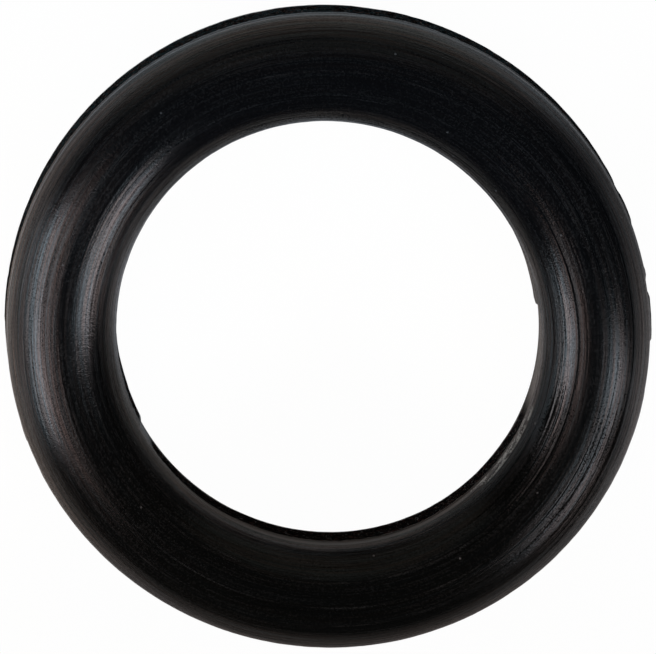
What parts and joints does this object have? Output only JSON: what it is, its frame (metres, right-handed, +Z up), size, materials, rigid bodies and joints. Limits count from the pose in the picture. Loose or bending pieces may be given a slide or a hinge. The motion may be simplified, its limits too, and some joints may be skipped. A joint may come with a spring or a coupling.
{
  "type": "rubber o-ring",
  "caption": "Black rubber o-ring of round section, moulded in one piece, with narrow trimmed parting lands round the bore and the rim.",
  "frame": {"origin": "centre of the ring at mid height", "axes": "+Z up along the ring's axis, the ring lying flat; +Y towards the top of the picture"},
  "size_m": [0.0278, 0.0278, 0.005],
  "materials": {
    "rubber": "moulded black rubber with a low sheen and fine turning marks"
  },
  "bodies": {
    "root": {"o_ring": "rubber"}
  },
  "joints": []
}
